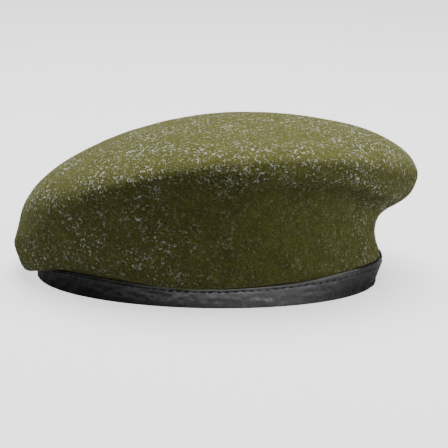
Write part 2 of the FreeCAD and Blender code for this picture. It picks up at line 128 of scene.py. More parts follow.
CREASE_STATIONS = (8.3, 8.1, 7.94, 7.75, 7.70, 7.62, 7.4, 7.2)
ROLLED_TURNS = (262, 335, 24)
ROLL_SOFTNESS = 9.0
LIP_TURNS = (284, 335, 24)
VENT_TURNS = (math.radians(100), math.radians(80))
VENT_STATION = 6.0
VENT_HOLE_RADIUS = 3.6
VENT_HOLE_REACH = 8
FELT_LAST = len(FELT_RINGS) + 1 + CROWN_RINGS - 3
LINING_LAST = len(LINING_RINGS) + 1 + CROWN_RINGS - 3
LINING_SHIFTS = (LINING_RIM_SHIFT, LINING_CROWN_DROP)
LINING_ROWS_PER_STATION = 16
LINING_AIR = 1.0
LINING_FREE_FROM = 3.2
LINING_LARGEST_MOVE = 7.0
SEAM_PUCKERS = 74

# name, place, aim (metres), diameter (metres), power (watts)
LIGHTS = [
    ("overhead", (0.05, 0.30, 1.5), (0, 0, 0.05), 1.5, 37),
    ("front_side", (-1.4, -0.1, 0.6), (0, 0, 0.05), 0.8, 5.5),
    ("back_side", (1.4, -0.25, 0.5), (0, 0, 0.05), 0.8, 9.0),
    ("underneath", (0.1, 0.1, -0.8), (0, 0, 0), 0.8, 2.5),
    ("low_front", (0.45, -1.5, 0.30), (0.03, 0, 0.03), 0.5, 1.6),
]


# ---- the shape -----------------------------------------------------------------------------
def all_round(count):
    """Turns at an even pitch, all the way round."""
    return np.linspace(0, 2 * math.pi, count, endpoint=False)


def arc_length(path):
    """The distance along a path at each of its points."""
    return np.concatenate([[0], np.cumsum(np.linalg.norm(np.diff(path, axis=0), axis=1))])


def compass(turns, back, right, front, left, twist=0.0, corners=0.0, badge=0.0):
    """One value round the head, blended from its values at the four quarters."""
    mean = (back + right + front + left) / 4
    along = (back - front) / 2 * np.cos(turns)
    across = (right - left) / 2 * np.sin(turns)
    oval = (back + front - right - left) / 4 * np.cos(2 * turns)
    diagonal = twist * np.sin(2 * turns) + corners * (1 - np.cos(4 * turns)) / 2
    lift = badge * np.maximum(0.0, np.cos(turns - BADGE_TURN)) ** BADGE_SHARPNESS
    return mean + along + across + oval + diagonal + lift


def band_normal(turns):
    normal = np.stack([np.cos(turns) / BAND_HALF_LENGTH, np.sin(turns) / BAND_HALF_WIDTH,
                       np.zeros_like(turns)], -1)
    return normal / np.linalg.norm(normal, axis=-1, keepdims=True)


def band_point(turns, outward, height):
    foot = np.stack([BAND_HALF_LENGTH * np.cos(turns), BAND_HALF_WIDTH * np.sin(turns),
                     height + np.zeros_like(turns)], -1)
    return foot + band_normal(turns) * np.asarray(outward)[..., None]


def meridian_poles(turns, rings, rim_shift=0.0, drop=0.0):
    """Control points of every meridian: poles[ring, turn]."""
    poles = [band_point(turns, compass(turns, *offset), compass(turns, *height))
             for offset, height in rings]
    half_x = (RIM_BACK - RIM_FRONT) / 2 - rim_shift
    half_y = (RIM_RIGHT - RIM_LEFT) / 2 - rim_shift
    rim = np.stack([(RIM_FRONT + RIM_BACK) / 2 + half_x * np.cos(turns),
                    (RIM_LEFT + RIM_RIGHT) / 2 + half_y * np.sin(turns),
                    compass(turns, *RIM_HEIGHT)], -1)
    poles.append(rim)
    apex = APEX - [0, 0, drop]
    fullness = compass(turns, *CROWN_FULLNESS)
    roundness = compass(turns, *CROWN_ROUNDNESS)
    for ring in range(1, CROWN_RINGS + 1):
        reach = math.cos(ring / CROWN_RINGS * CROWN_TOP_FRACTION * math.pi / 2) ** 0.85
        rise = (1 - reach ** fullness) ** (1 / roundness)
        if ring == CROWN_RINGS:
            rise = np.ones_like(turns)
        point = apex + (rim - apex) * reach
        point[:, 2] = rim[:, 2] + (apex[2] - rim[:, 2]) * rise
        poles.append(point)
    return np.array(poles)


def spline_weights(stations, count):
    """Weights of a clamped cubic spline's poles at each station (one unit a span)."""
    spans = count - 3
    knots = np.concatenate([[0.0] * 3, np.arange(spans + 1.0), [float(spans)] * 3])
    stations = np.clip(stations, 0, spans - 1e-9)
    weights = ((stations[:, None] >= knots[None, :-1]) & (stations[:, None] < knots[None, 1:])) * 1.0
    for degree in range(1, 4):
        left = knots[degree:-1] - knots[:-degree - 1]
        right = knots[degree + 1:] - knots[1:-degree]
        up = np.divide(stations[:, None] - knots[None, :-degree - 1], left,
                       out=np.zeros((len(stations), len(left))), where=left > 0)
        down = np.divide(knots[None, degree + 1:] - stations[:, None], right,
                         out=np.zeros((len(stations), len(right))), where=right > 0)
        weights = up * weights[:, :-1] + down * weights[:, 1:]
    return weights


def surface(turns, stations, rings, rim_shift=0.0, drop=0.0):
    poles = meridian_poles(turns, rings, rim_shift, drop)
    return np.einsum("sp,ptk->stk", spline_weights(np.asarray(stations, float), len(poles)), poles)


def normals_of(points):
    """Outward normals of a grid of rows that close round the head."""
    around = np.roll(points, -1, 1) - np.roll(points, 1, 1)
    along = np.gradient(points, axis=0)
    normal = np.cross(around, along)
    return normal / np.maximum(np.linalg.norm(normal, axis=-1, keepdims=True), 1e-9)


def ripples(points, wavelength, seed, count=28, stretch=(1, 1, 1)):
    """Band-limited random relief: a seeded sum of plane waves, about -1 to 1."""
    rng = np.random.default_rng(seed)
    direction = rng.normal(size=(count, 3))
    direction /= np.linalg.norm(direction, axis=1, keepdims=True)
    length = wavelength * rng.uniform(0.7, 1.5, count)
    phase = rng.uniform(0, 2 * math.pi, count)
    waves = 2 * math.pi * direction / length[:, None] / np.asarray(stretch, float)
    return np.cos(points @ waves.T + phase).sum(-1) / math.sqrt(count)


def hump(value, centre, width):
    return np.exp(-((value - centre) / width) ** 2)


def window(value, first, last, soft):
    """1 between two values, easing to 0 over soft outside them."""
    rise = np.clip((value - first + soft) / soft, 0, 1)
    fall = np.clip((last + soft - value) / soft, 0, 1)
    return (rise * rise * (3 - 2 * rise)) * (fall * fall * (3 - 2 * fall))


def turn_window(turns, first, last, soft):
    """The same between two turns, in degrees."""
    return window(np.degrees(turns) % 360, first, last, soft)


# ---- meshes --------------------------------------------------------------------------------
class Builder:
    """Collects grids of points into one mesh."""

    def __init__(self):
        self.points = []
        self.faces = []
        self.count = 0

    def add(self, rows, closed=True, flip=False):
        """Adds a grid of rows; returns the index of its first point."""
        rows = np.asarray(rows)
        start = self.count
        height, width = rows.shape[:2]
        self.points.append(rows.reshape(-1, 3))
        self.count += height * width
        across = np.arange(width if closed else width - 1)
        after = (across + 1) % width
        for row in range(height - 1):
            low, high = start + row * width, start + (row + 1) * width
            quads = np.stack([low + across, low + after, high + after, high + across], -1)
            self.faces.append(quads[:, ::-1] if flip else quads)
        return start

    def make(self, name, material, drop_near=()):
        """Makes the piece, less the faces inside any hole given as centre, axis and radius."""
        points = np.concatenate(self.points)
        faces = np.concatenate(self.faces)
        for centre, axis, radius in drop_near:
            offset = points - centre
            along = offset @ axis
            away = np.linalg.norm(offset - along[:, None] * axis, axis=1)
            inside = (away < radius) & (np.abs(along) < VENT_HOLE_REACH)
            faces = faces[~inside[faces].all(1)]
        mesh = bpy.data.meshes.new(name)
        mesh.from_pydata((points * MM).tolist(), [], faces.tolist())
        mesh.update()
        tidy(mesh)
        mesh.materials.append(material)
        mesh.polygons.foreach_set("use_smooth", [True] * len(mesh.polygons))
        piece = bpy.data.objects.new(name, mesh)
        bpy.context.scene.collection.objects.link(piece)
        return piece


def tidy(mesh):
    """Welds shared edges, drops loose points and points the faces outward."""
    work = bmesh.new()
    work.from_mesh(mesh)
    bmesh.ops.remove_doubles(work, verts=work.verts, dist=1e-6)
    bmesh.ops.delete(work, geom=[v for v in work.verts if not v.link_faces], context="VERTS")
    bmesh.ops.recalc_face_normals(work, faces=work.faces)
    work.to_mesh(mesh)
    work.free()


def ring_to_point(row, centre, steps):
    """Rows that shrink a ring onto its centre."""
    return [row + (centre - row) * (step / steps) for step in range(steps + 1)]


def mesh_points(mesh):
    """A mesh's points in millimetres, one row each."""
    points = np.empty(len(mesh.vertices) * 3)
    mesh.vertices.foreach_get("co", points)
    return points.reshape(-1, 3) / MM


def store(mesh, name, values):
    """Stores one number a point, for a material to read."""
    layer = mesh.attributes.new(name, "FLOAT", "POINT")
    layer.data.foreach_set("value", values)


def place(piece, nodes):
    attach(piece, "root")
    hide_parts(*nodes)
    return piece


# ---- materials -----------------------------------------------------------------------------
class Nodes:
    """A short way to write a material's node tree."""

    def __init__(self, name):
        self.material = bpy.data.materials.new(name)
        self.material.use_nodes = True
        self.tree = self.material.node_tree
        self.shader = self.tree.nodes["Principled BSDF"]
        self.where = self.node("ShaderNodeTexCoord").outputs["Object"]

    def node(self, kind, inputs=None, **settings):
        made = self.tree.nodes.new(kind)
        for key, value in settings.items():
            setattr(made, key, value)
        for key, value in (inputs or {}).items():
            self.set(made, key, value)
        return made

    def set(self, node, key, value):
        if isinstance(value, bpy.types.NodeSocket):
            self.tree.links.new(value, node.inputs[key])
        else:
            node.inputs[key].default_value = value

    def noise(self, size, detail=3.0, roughness=0.6, where=None, distortion=0.0):
        """Noise whose features are about size metres across."""
        return self.node("ShaderNodeTexNoise", {"Vector": where or self.where, "Scale": 1 / size,
                                                "Detail": detail, "Roughness": roughness,
                                                "Distortion": distortion}).outputs["Fac"]

    def cells(self, size):
        """Distance from the middle of cells about size metres across."""
        return self.node("ShaderNodeTexVoronoi", {"Vector": self.where,
                                                  "Scale": 1 / size}).outputs["Distance"]

    def ramp(self, value, low, high, start=0.0, end=1.0):
        return self.node("ShaderNodeMapRange", {"Value": value, "From Min": low, "From Max": high,
                                                "To Min": start, "To Max": end}).outputs["Result"]

    def math(self, operation, first, second=0.0):
        return self.node("ShaderNodeMath", {0: first, 1: second}, operation=operation).outputs[0]

    def mix(self, amount, first, second):
        made = self.node("ShaderNodeMix", data_type="RGBA")
        self.set(made, 0, amount)
        self.set(made, 6, first)
        self.set(made, 7, second)
        return made.outputs[2]

    def bump(self, height, distance, strength=1.0, under=None):
        made = self.node("ShaderNodeBump", {"Height": height, "Distance": distance,
                                            "Strength": strength})
        if under is not None:
            self.set(made, "Normal", under)
        return made.outputs["Normal"]

    def finish(self, **sockets):
        for key, value in sockets.items():
            self.set(self.shader, key.replace("_", " "), value)
        return self.material


def rgb(red, green, blue):
    return (red, green, blue, 1.0)


def curls(n, size, coverage, shift=(0.0, 0.0, 0.0)):
    """Short curled fibres: broken lines where a noise crosses its middle value."""
    where = n.node("ShaderNodeMapping", {"Vector": n.where, "Location": shift}).outputs[0]
    level = n.noise(size, 2.0, 0.5, where, 1.5)
    line = n.ramp(n.math("ABSOLUTE", n.math("SUBTRACT", level, 0.5)), 0.052, 0.020)
    broken = n.ramp(n.noise(size * 0.65, 2.0, 0.5, where), coverage, coverage + 0.045)
    return n.math("MULTIPLY", line, broken)


def felt_material():
    n = Nodes("olive_felt")
    mottle = n.ramp(n.noise(0.009, 5.0, 0.7), 0.35, 0.65)
    fibre = n.ramp(n.noise(0.0011, 6.0, 0.8, distortion=0.8), 0.36, 0.64)
    base = n.mix(mottle, rgb(0.165, 0.170, 0.040), rgb(0.240, 0.245, 0.056))
    matted = n.mix(fibre, rgb(0.046, 0.050, 0.014), base)
    patches = n.ramp(n.noise(0.026, 3.0, 0.6), 0.38, 0.60, 0.30, 1.0)
    # The nap attribute thins the light flecks and their fibre shadows on the near side wall. This is
    # painted shade, darker where that wall lies in shade under the rim.
    nap_thinned_in_shade = n.node("ShaderNodeAttribute", attribute_name="nap").outputs["Fac"]
    shown = n.math("MULTIPLY", patches, nap_thinned_in_shade)
    coarse = curls(n, 0.0034, 0.548)
    fine = n.math("MULTIPLY", curls(n, 0.0020, 0.555), 0.45)
    flecks = n.math("MULTIPLY", n.math("MAXIMUM", coarse, fine), shown)
    # Painted shadow: a darker copy of the fibre curls, shifted a little, stands in for the shadow each
    # raised fibre casts.
    shade = n.math("MULTIPLY", curls(n, 0.0034, 0.535, (0.0004, 0.0002, 0.0006)), shown)
    with_painted_fibre_shadows = n.mix(n.math("MULTIPLY", shade, 0.9), matted, rgb(0.012, 0.013, 0.004))
    colour = n.mix(flecks, with_painted_fibre_shadows, rgb(1.0, 1.0, 0.90))
    soft = n.bump(n.noise(0.0040, 3.0, 0.6), 0.0008, 0.5)
    nap = n.bump(n.noise(0.0009, 5.0, 0.8, distortion=0.8), 0.0006, 0.9, soft)
    nap = n.bump(flecks, 0.0004, 0.8, nap)
    return n.finish(Base_Color=colour, Roughness=0.94, Specular_IOR_Level=0.10, Normal=nap,
                    Sheen_Weight=0.06, Sheen_Roughness=0.6, Sheen_Tint=rgb(0.8, 0.8, 0.45))


def leather_material():
    n = Nodes("black_leather")
    grain = n.cells(0.0008)
    crease = n.ramp(n.noise(0.0045, 5.0, 0.7, distortion=1.2), 0.42, 0.58)
    colour = n.mix(n.ramp(n.noise(0.003, 4.0, 0.7), 0.4, 0.7), rgb(0.006, 0.006, 0.007),
                   rgb(0.016, 0.015, 0.017))
    # The stored shine drives coat and specular: full along the side, almost none at the front, as
    # painted shade under the felt's overhang.
    shine_and_shade = n.node("ShaderNodeAttribute", attribute_name="shine_and_shade").outputs["Fac"]
    rough = n.ramp(n.noise(0.003, 4.0, 0.7), 0.3, 0.7, 0.28, 0.42)
    folds = n.bump(crease, 0.0008, 0.5)
    fine = n.bump(grain, 0.00015, 0.6, folds)
    return n.finish(Base_Color=colour, Roughness=rough, Normal=fine, Coat_Weight=shine_and_shade,
                    Specular_IOR_Level=n.ramp(shine_and_shade, 0, 1, 0.08, 1.0), Coat_Roughness=0.25,
                    Coat_IOR=2.2)


def thread_material(name, low, high):
    n = Nodes(name)
    twist = n.node("ShaderNodeTexWave", {"Vector": n.where, "Scale": 420.0, "Distortion": 3.0,
                                         "Detail": 2.0}).outputs["Fac"]
    return n.finish(Base_Color=n.mix(twist, low, high), Roughness=0.55, Specular_IOR_Level=0.5,
                    Normal=n.bump(twist, 0.0001, 0.5))


def satin_material(name, low, high, rough):
    n = Nodes(name)
    weave = n.node("ShaderNodeTexWave", {"Vector": n.where, "Scale": 900.0, "Distortion": 1.5,
                                         "Detail": 1.0}, bands_direction="DIAGONAL").outputs["Fac"]
    shade = n.mix(n.noise(0.01, 3.0, 0.6), low, high)
    colour = n.mix(n.math("MULTIPLY", weave, 0.25), shade, high)
    return n.finish(Base_Color=colour, Roughness=rough, Specular_IOR_Level=0.6,
                    Normal=n.bump(weave, 0.00006, 0.35), Sheen_Weight=0.25, Sheen_Roughness=0.35)


def cord_material():
    n = Nodes("black_braid")
    plait = n.node("ShaderNodeTexWave", {"Vector": n.where, "Scale": 260.0, "Distortion": 4.0,
                                         "Detail": 2.0}, bands_direction="DIAGONAL").outputs["Fac"]
    colour = n.mix(plait, rgb(0.012, 0.012, 0.012), rgb(0.035, 0.035, 0.034))
    return n.finish(Base_Color=colour, Roughness=0.8, Normal=n.bump(plait, 0.0003, 0.7))


def enamel_material():
    n = Nodes("black_enamel")
    wear = n.ramp(n.noise(0.0012, 4.0, 0.7), 0.60, 0.70)
    colour = n.mix(n.math("MULTIPLY", wear, 0.5), rgb(0.014, 0.015, 0.013), rgb(0.10, 0.085, 0.05))
    return n.finish(Base_Color=colour, Roughness=n.ramp(wear, 0, 1, 0.32, 0.5), Specular_IOR_Level=0.6,
                    Normal=n.bump(n.noise(0.0008), 0.00004, 0.4))


def board_material():
    n = Nodes("buckram_board")
    weave = n.node("ShaderNodeTexWave", {"Vector": n.where, "Scale": 500.0,
                                         "Distortion": 2.0}).outputs["Fac"]
    colour = n.mix(n.noise(0.002, 4.0), rgb(0.20, 0.165, 0.11), rgb(0.27, 0.225, 0.15))
    return n.finish(Base_Color=colour, Roughness=0.9, Normal=n.bump(weave, 0.0001, 0.6))


# ---- felt body -----------------------------------------------------------------------------
def round_rim(points, turns, stations, first, last):
    """Rounds the meridians between two stations on the wearer's left, where the rim is rolled."""
    side = turn_window(turns, *ROLLED_TURNS)
    soft_ends = 1.5
    ease = window(stations, first + soft_ends, last - soft_ends, soft_ends)
    rounded = points.copy()
    for i in np.nonzero(side)[0]:
        length = arc_length(points[:, i])
        apart = (length[:, None] - length[None, :]) / ROLL_SOFTNESS
        weights = np.exp(-apart ** 2 / 2) * np.gradient(length)
        soft = weights @ points[:, i] / weights.sum(1, keepdims=True)
        rounded[:, i] += (soft - points[:, i]) * (ease * side[i])[:, None]
    return rounded


def felt_relief(points, turns, stations):
    """How far the felt stands proud of its plain shape, in millimetres; nothing at the apex."""
    side = turn_window(turns, *ROLLED_TURNS)[None, :]
    s = stations[:, None]
    degrees = np.degrees(turns) % 360
    crease = np.interp(degrees, CREASE_TURNS, CREASE_STATIONS)[None, :]
    undercut = hump(s, crease, np.where(s < crease, 1.0, 0.24))
    lip = turn_window(turns, *LIP_TURNS)[None, :] * hump(s, crease + 0.5, 0.42)
    roll = 2.2 * lip - 1.6 * undercut
    wall = np.clip((s - 2.5) / 2.5, 0, 1)
    dents = (0.75 * ripples(points, 46, 11) + 0.28 * ripples(points, 17, 12)
             + 0.08 * ripples(points, 6, 13))
    calm = 0.35 + 0.65 * np.clip((9.5 - s) / 3.0, 0, 1)
    top = np.clip((s - 10.0) / 2.0, 0, 1)
    settle = np.clip((FELT_LAST - s) / 1.5, 0, 1)
    return (roll * side + dents * wall * calm * (1 - 0.4 * top)) * settle


def felt_body(material):
    """Two skins of felt, joined at the cut edge and open at the vents."""
    turns = all_round(384)
    stations = np.concatenate([np.linspace(0, 8, 118, endpoint=False),
                               np.linspace(8, 11, 38, endpoint=False),
                               np.linspace(11, FELT_LAST, 34)])
    outer = round_rim(surface(turns, stations, FELT_RINGS), turns, stations, *FELT_RIM)
    outer = outer + normals_of(outer) * felt_relief(outer, turns, stations)[..., None]
    inner = felt_inside(turns)
    inner[0, :, 2] = outer[0, :, 2]
    builder = Builder()
    builder.add(outer)
    builder.add(ring_to_point(outer[-1], outer[-1].mean(0), 4))
    builder.add(inner, flip=True)
    builder.add(ring_to_point(inner[-1], inner[-1].mean(0), 3), flip=True)
    builder.add([inner[0], outer[0]])
    felt = builder.make("felt_body", material, drop_near=vent_axes(VENT_HOLE_RADIUS))
    store_nap_with_wall_shade(felt.data)
    return felt


def store_nap_with_wall_shade(mesh):
    """Stores how much light nap shows: most on the top, rim and front, least on the near side wall,
    where the fewer flecks are painted shade.
    """
    x, y, z = mesh_points(mesh).T
    wall = np.clip((78 - z) / 8, 0, 1) * np.clip((x + 30) / 30, 0, 1) * np.clip((-10 - y) / 20, 0, 1)
    wall *= np.clip((100 - x) / 20, 0, 1)
    store(mesh, "nap", np.clip(1 - 0.75 * wall, 0, 1))


def felt_inside(turns):
    """The felt's inner skin, in fewer rows than the outer one."""
    stations = np.concatenate([np.linspace(0, 7, 26, endpoint=False),
                               np.linspace(7, 12, 26, endpoint=False),
                               np.linspace(12, FELT_LAST, 8)])
    plain = round_rim(surface(turns, stations, FELT_RINGS), turns, stations, *FELT_RIM)
    relief = felt_relief(plain, turns, stations)
    return plain + normals_of(plain) * (np.minimum(relief, 0.4) - FELT)[..., None]


@lru_cache(maxsize=None)
def felt_inside_tree():
    """A search tree of the inner skin, made once."""
    rows = felt_inside(all_round(256))
    height, width = rows.shape[:2]
    faces = [(r * width + c, r * width + (c + 1) % width, (r + 1) * width + (c + 1) % width,
              (r + 1) * width + c) for r in range(height - 1) for c in range(width)]
    return BVHTree.FromPolygons(rows.reshape(-1, 3).tolist(), faces)


def clear_of_felt(points, stations):
    """Moves the free part of the lining in until it hangs clear of the felt, without a step."""
    tree = felt_inside_tree()
    push = np.zeros(points.shape[:2])
    for row in range(len(stations)):
        if stations[row] < LINING_FREE_FROM:
            continue
        for column in range(points.shape[1]):
            near, outward, _, _ = tree.find_nearest(Vector(points[row, column]))
            inside = (near - Vector(points[row, column])).dot(outward)
            push[row, column] = min(max(LINING_AIR - inside, 0.0), LINING_LARGEST_MOVE)
    soft = push
    for _ in range(6):
        around = (np.roll(soft, 1, 1) + np.roll(soft, -1, 1) + 2 * soft) / 4
        soft = np.maximum(push, around)
        soft[1:-1] = np.maximum(soft[1:-1], (soft[:-2] + soft[2:]) / 2 - 0.15)
    return points - normals_of(points) * soft[..., None]


def vent_axes(radius):
    """The vents' holes in the felt, each as centre, axis and radius."""
    holes = []
    for turn in VENT_TURNS:
        turns = turn + np.array([-0.01, 0.0, 0.01])
        spot = surface(turns, VENT_STATION + np.array([-0.01, 0.0, 0.01]), FELT_RINGS)
        axis = np.cross(spot[1, 2] - spot[1, 0], spot[2, 1] - spot[0, 1])
        holes.append((spot[1, 1], axis / np.linalg.norm(axis), radius))
    return holes


# ---- leather binding -----------------------------------------------------------------------
def leaf_rows(turns, fractions, rings, height, depth, shifts=(0.0, 0.0)):
    """Rows of a leaf of the binding, square to its backing in the upright plane of each turn."""
    stations = np.linspace(0, 3, 301)
    path = surface(turns, stations, rings, *shifts)
    steps = np.linalg.norm(np.diff(path, axis=0), axis=-1)
    length = np.concatenate([np.zeros((1, len(turns))), np.cumsum(steps, axis=0)])
    tops = compass(turns, *height)
    normal = band_normal(turns)
    tangent = np.gradient(path, axis=0)
    rows = []
    for fraction in fractions:
        row = np.empty((len(turns), 3))
        lean = np.empty((len(turns), 3))
        for i in range(len(turns)):
            station = np.interp(tops[i] * fraction, length[:, i], stations)
            for k in range(3):
                row[i, k] = np.interp(station, stations, path[:, i, k])
                lean[i, k] = np.interp(station, stations, tangent[:, i, k])
        lean /= np.linalg.norm(lean, axis=1, keepdims=True)
        square = normal * lean[:, 2:3] - np.array([0, 0, 1.0]) * (lean * normal).sum(1, keepdims=True)
        square /= np.linalg.norm(square, axis=1, keepdims=True)
        rows.append(row - square * depth)
    return np.array(rows)


def fold_rows(turns, centre, radius, first, last, steps=7):
    """Rows round a fold at the foot of the binding, between two angles in degrees."""
    angles = np.radians(np.linspace(first, last, steps))
    return np.array([band_point(turns, centre + radius * math.cos(a) + 0 * turns,
                                FOLD_RADIUS - radius * math.sin(a)) for a in angles])


def leather_binding(material):
    """The strip's section, run round the head: outer leaf, foot, inner leaf, channel."""
    gap = JOINT_GAP / 2 / BAND_HALF_WIDTH
    turns = np.linspace(gap, 2 * math.pi - gap, 641)
    up = np.linspace(0, 1, 22)
    outer_centre = FOLD_OUTSIDE - FOLD_RADIUS
    inner_centre = FOLD_INSIDE + FOLD_RADIUS
    inside = FOLD_RADIUS - LEATHER
    outer_face = leaf_rows(turns, up[::-1], FELT_RINGS, OUTER_LEAF_HEIGHT, -LAYER_GAP - LEATHER)
    groove = hump(up[::-1], STITCH_LINE, 0.05)[:, None]
    edge = hump(up[::-1], 1.0, 0.05)[:, None]
    crumple = (ripples(outer_face, 9, 21, stretch=(1, 1, 0.6)) * 0.30
               + ripples(outer_face, 3.5, 22) * 0.10)
    calm = np.clip(1.15 - up[::-1], 0.15, 1)[:, None]
    push = crumple * calm - 0.22 * groove - 0.20 * edge + 0.12 * hump(up[::-1], 0.9, 0.06)[:, None]
    outer_face = outer_face + band_normal(turns)[None] * push[..., None]
    foot = fold_rows(turns, outer_centre, FOLD_RADIUS, 0, 90)
    ease = np.linspace(1, 0, len(foot))[:, None, None]
    foot = foot + band_normal(turns)[None] * (push[-1][None, :, None] * ease)
    head_foot = fold_rows(turns, inner_centre, FOLD_RADIUS, 90, 180)
    head_face = leaf_rows(turns, up, LINING_RINGS, INNER_LEAF_HEIGHT, LINING + LAYER_GAP + LEATHER,
                          LINING_SHIFTS)
    head_push = -0.12 * ripples(head_face, 8, 23) - 0.2 * hump(up, STITCH_LINE, 0.05)[:, None]
    head_face = head_face - band_normal(turns)[None] * head_push[..., None] * up[:, None, None]
    channel = np.concatenate([
        leaf_rows(turns, up[::-4], LINING_RINGS, INNER_LEAF_HEIGHT, LINING + LAYER_GAP, LINING_SHIFTS),
        fold_rows(turns, inner_centre, inside, 180, 90, 4),
        fold_rows(turns, outer_centre, inside, 90, 0, 4),
        leaf_rows(turns, up[::4], FELT_RINGS, OUTER_LEAF_HEIGHT, -LAYER_GAP)])
    section = np.concatenate([outer_face, foot, head_foot, head_face, channel, outer_face[:1]])
    builder = Builder()
    builder.add(section, closed=False)
    piece = builder.make("leather_strip", material)
    close_ends(piece.data)
    cut_slot(piece)
    store_leather_shine_and_shade(piece.data)
    return piece


def cut_slot(piece):
    """Cuts the slot in the inner leaf through which the cord's ends come out."""
    x = BAND_HALF_LENGTH - CORD_SLOT_INSET
    y = CORD_SLOT_WIDTH / 2
    low, high = (x, -y, LEATHER), (x + CORD_SLOT_DEPTH, y, CORD_SLOT_TOP)
    corners = [(a * MM, b * MM, c * MM) for a in (low[0], high[0]) for b in (low[1], high[1])
               for c in (low[2], high[2])]
    mesh = bpy.data.meshes.new("slot_cutter")
    mesh.from_pydata(corners, [], [(0, 1, 3, 2), (4, 6, 7, 5), (0, 4, 5, 1), (2, 3, 7, 6),
                                   (0, 2, 6, 4), (1, 5, 7, 3)])
    cutter = bpy.data.objects.new("slot_cutter", mesh)
    bpy.context.scene.collection.objects.link(cutter)
    cut = piece.modifiers.new("slot", "BOOLEAN")
    cut.operation = "DIFFERENCE"
    cut.solver = "EXACT"
    cut.object = cutter
    done = piece.evaluated_get(bpy.context.evaluated_depsgraph_get())
    cut_mesh = bpy.data.meshes.new_from_object(done)
    piece.modifiers.clear()
    piece.data = cut_mesh
    bpy.data.objects.remove(cutter)


def store_leather_shine_and_shade(mesh):
    """Stores the shine: full along the side, almost none at the front under the felt, as painted shade
    under the felt's overhang.
    """
    x, y = mesh_points(mesh)[:, :2].T
    degrees = np.degrees(np.arctan2(y / BAND_HALF_WIDTH, x / BAND_HALF_LENGTH)) % 360
    side_shine = np.where(degrees < 287, hump(degrees, 288, 32), hump(degrees, 288, 26))
    store(mesh, "shine_and_shade", 0.02 + 0.98 * side_shine)


def close_ends(mesh):
    """Fills the two cut ends of the strip."""
    work = bmesh.new()
    work.from_mesh(mesh)
    open_edges = [edge for edge in work.edges if edge.is_boundary]
    bmesh.ops.holes_fill(work, edges=open_edges, sides=0)
    bmesh.ops.recalc_face_normals(work, faces=work.faces)
    work.to_mesh(mesh)
    work.free()


# ---- stitching -----------------------------------------------------------------------------
def even_points(path, pitch, margin):
    """Points and directions at an even pitch along an open path."""
    length = arc_length(path)
    count = int((length[-1] - 2 * margin) / pitch) + 1
    at = np.linspace(margin, length[-1] - margin, count)
    points = np.stack([np.interp(at, length, path[:, k]) for k in range(3)], -1)
    ahead = np.stack([np.interp(at + 0.5, length, path[:, k]) for k in range(3)], -1)
    behind = np.stack([np.interp(at - 0.5, length, path[:, k]) for k in range(3)], -1)
    along = ahead - behind
    return points, along / np.linalg.norm(along, axis=1, keepdims=True)


def stitch_row(name, points, along, outward, material, radius=0.30, seed=5):
    """Arched threads that dive into the cloth at both ends."""
    rng = np.random.default_rng(seed)
    builder = Builder()
    sides = 8
    rings = 9
    for point, ahead, out in zip(points, along, outward):
        out = out - ahead * (out @ ahead)
        out /= np.linalg.norm(out)
        across = np.cross(ahead, out)
        tilt = math.radians(rng.normal(0, STITCH_TILT))
        ahead = ahead * math.cos(tilt) + across * math.sin(tilt)
        across = np.cross(ahead, out)
        size = STITCH_LENGTH * rng.uniform(0.92, 1.06)
        rows = []
        for ring in range(rings):
            along_it = ring / (rings - 1) * 2 - 1
            lift = STITCH_ARCH - STITCH_DIVE * abs(along_it) ** 3.0
            centre = point + ahead * (along_it * size / 2) + out * lift
            thick = radius * (1.0 - 0.35 * along_it ** 4)
            rows.append([centre + (across * math.cos(a) + out * math.sin(a)) * thick
                         for a in all_round(sides)])
        rows = np.array(rows)
        tips = [rows[end] * 0 + rows[end].mean(0) for end in (0, -1)]
        rows = np.concatenate([tips[:1], rows, tips[1:]])
        builder.add(rows)
    return builder.make(name, material)


def binding_stitches(thread):
    """A row of stitches on each leaf, and three across the joint at the back."""
    gap = 0.02
    turns = np.linspace(gap, 2 * math.pi - gap, 900)
    sunk = 0.12
    outer = leaf_rows(turns, [STITCH_LINE], FELT_RINGS, OUTER_LEAF_HEIGHT,
                      sunk - LAYER_GAP - LEATHER)[0]
    points, along = even_points(outer, STITCH_PITCH, STITCH_MARGIN)
    out = outward_at(points)
    place(stitch_row("outer_stitching", points, along, out, thread, seed=5),
          ["binding_stitches_outer"])
    inner = leaf_rows(turns, [STITCH_LINE], LINING_RINGS, INNER_LEAF_HEIGHT,
                      LINING + LAYER_GAP + LEATHER - sunk, LINING_SHIFTS)[0]
    points, along = even_points(inner, STITCH_PITCH, STITCH_MARGIN)
    place(stitch_row("inner_stitching", points, along, -outward_at(points), thread, seed=6),
          ["binding_stitches_inner"])
    rows = leaf_rows(np.zeros(1), [0.1, 0.32, 0.54], FELT_RINGS, OUTER_LEAF_HEIGHT,
                     -LAYER_GAP - LEATHER)[:, 0]
    along = np.tile([0.0, 1.0, 0.25], (3, 1))
    along /= np.linalg.norm(along, axis=1, keepdims=True)
    place(stitch_row("joint_stitching", rows, along, np.tile([1.0, 0, 0], (3, 1)), thread, seed=7),
          ["binding_joint_stitches"])


def outward_at(points):
    """The band's outward direction at each point."""
    turns = np.arctan2(points[:, 1] / BAND_HALF_WIDTH, points[:, 0] / BAND_HALF_LENGTH)
    return band_normal(turns)


# ---- lining --------------------------------------------------------------------------------
def double_skin(name, outer, normal, thickness, material, domed):
    """A sheet with two faces, closed at its edges or, if domed, over the top."""
    inner = outer - normal * thickness
    builder = Builder()
    builder.add(outer)
    builder.add(inner, flip=True)
    builder.add([inner[0], outer[0]])
    if domed:
        builder.add(ring_to_point(outer[-1], outer[-1].mean(0), 4))
        builder.add(ring_to_point(inner[-1], inner[-1].mean(0), 4), flip=True)
    else:
        builder.add([outer[-1], inner[-1]])
    return builder.make(name, material)


